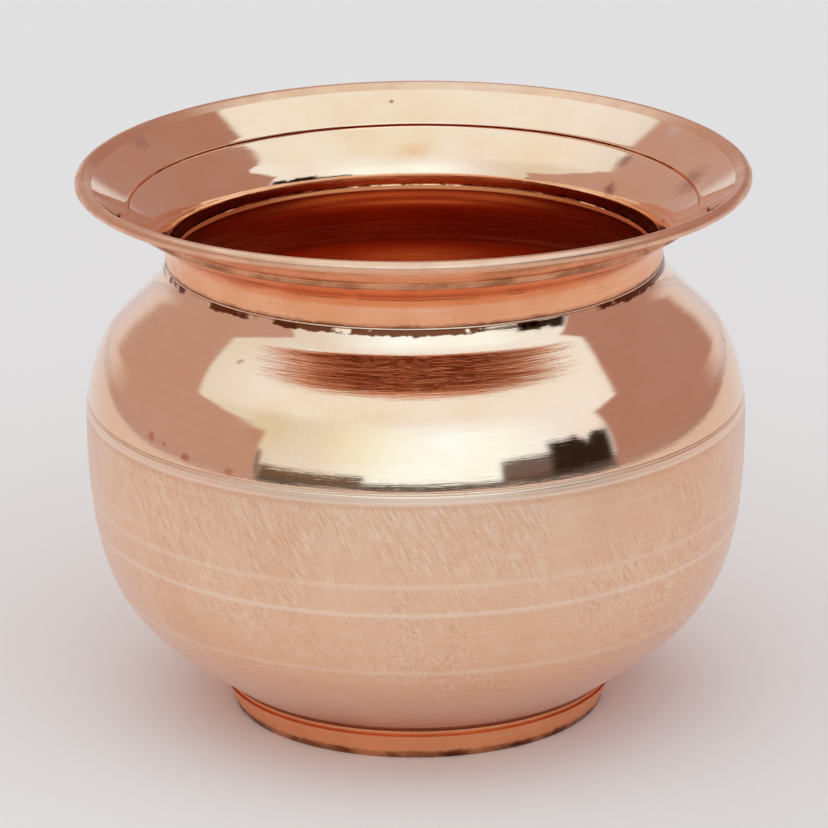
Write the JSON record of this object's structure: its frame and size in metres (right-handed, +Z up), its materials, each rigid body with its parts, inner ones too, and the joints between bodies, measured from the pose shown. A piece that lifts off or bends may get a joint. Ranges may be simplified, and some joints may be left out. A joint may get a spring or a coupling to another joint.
{
  "type": "lota",
  "caption": "Copper lota: round-bellied water pot of brazed spun sheet with a stepped, flared mouth, a wired rolled rim and a foot ring.",
  "frame": {"origin": "on the ground, under the centre of the foot ring", "axes": "+Z up through the centre of the mouth; the pot is round about it, so +X and +Y are any two level directions"},
  "size_m": [0.128, 0.128, 0.1057],
  "materials": {
    "mirror_copper": "buffed to a mirror, with fine spin lines",
    "satin_copper": "satin, brushed with short slanting scratches",
    "foot_copper": "dull, warmer, with a tarnished lower edge",
    "braze_metal": "dull, filed flush",
    "wire_copper": "drawn, bare"
  },
  "bodies": {
    "root": {"foot_ring": "foot_copper", "foot_braze": "braze_metal", "lower_bowl": "satin_copper", "belly_braze": "braze_metal", "shoulder_shell": "mirror_copper", "neck_braze": "braze_metal", "mouth_collar": "mirror_copper", "rim_wire": "wire_copper"}
  },
  "joints": []
}
